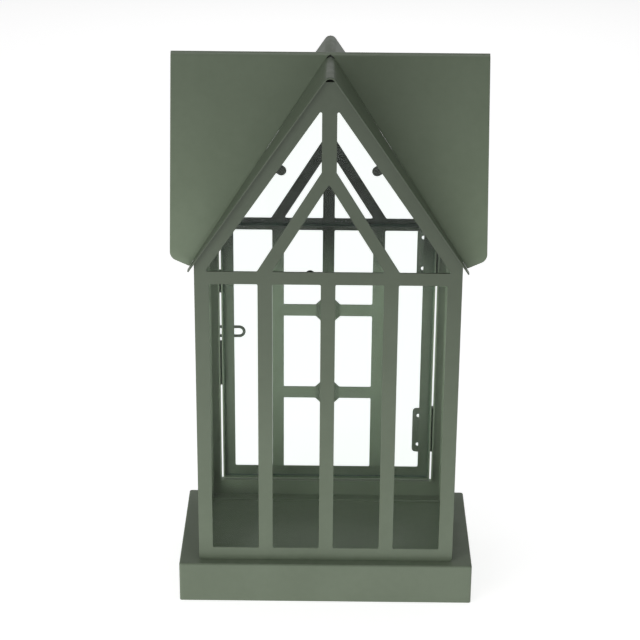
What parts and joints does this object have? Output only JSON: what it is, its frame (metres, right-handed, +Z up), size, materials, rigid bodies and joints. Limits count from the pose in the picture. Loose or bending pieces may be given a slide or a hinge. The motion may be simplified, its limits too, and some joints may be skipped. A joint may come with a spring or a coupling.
{
  "type": "glass cloche",
  "caption": "House-shaped glass cloche in folded sage green sheet metal, with a cross-gable roof, clear panes, arched gable bars, a folded plinth and a hinged back door with a hook latch",
  "frame": {"origin": "under the middle of the plinth, on the surface that the part stands on", "axes": "+Z up, -Y towards the fixed front window wall, +Y towards the door, +X along the main ridge towards the hinged side"},
  "size_m": [0.236, 0.125, 0.431],
  "materials": {
    "green_paint": "satin",
    "tab_paint": "satin",
    "clear_glass": "glossy",
    "painted_wire": "satin"
  },
  "bodies": {
    "house": {"plinth": "green_paint", "front_wall": "green_paint", "back_wall": "green_paint", "left_wall": "green_paint", "right_wall": "green_paint", "front_gable_roof": "green_paint", "back_gable_roof": "green_paint", "main_roof": "green_paint", "upper_hinge_frame_leaf": "green_paint", "lower_hinge_frame_leaf": "green_paint", "front_low_glass": "clear_glass", "front_gable_glass": "clear_glass", "left_low_glass": "clear_glass", "left_gable_glass": "clear_glass", "right_low_glass": "clear_glass", "right_gable_glass": "clear_glass", "front_glass_tabs": "tab_paint", "left_glass_tabs": "tab_paint", "right_glass_tabs": "tab_paint", "upper_hinge_pin": "painted_wire", "lower_hinge_pin": "painted_wire", "latch_catch": "painted_wire"},
    "door": {"door_frame": "green_paint", "door_low_glass": "clear_glass", "door_gable_glass": "clear_glass", "door_glass_tabs": "tab_paint", "upper_hinge_door_leaf": "green_paint", "lower_hinge_door_leaf": "green_paint", "lower_door_stop": "green_paint", "upper_door_stop": "green_paint", "latch_rivet": "painted_wire"},
    "hook": {"latch_hook": "painted_wire"}
  },
  "joints": [
    {"name": "door_swing", "type": "hinge", "parent": "house", "child": "door", "pos_m": [0.08675, 0.057, 0.17], "axis": [0, 0, -1], "range_deg": [0, 120]},
    {"name": "hook_turn", "type": "hinge", "parent": "door", "child": "hook", "pos_m": [-0.081, 0.0569, 0.1814], "axis": [0, 1, 0], "range_deg": [0, 90]}
  ]
}
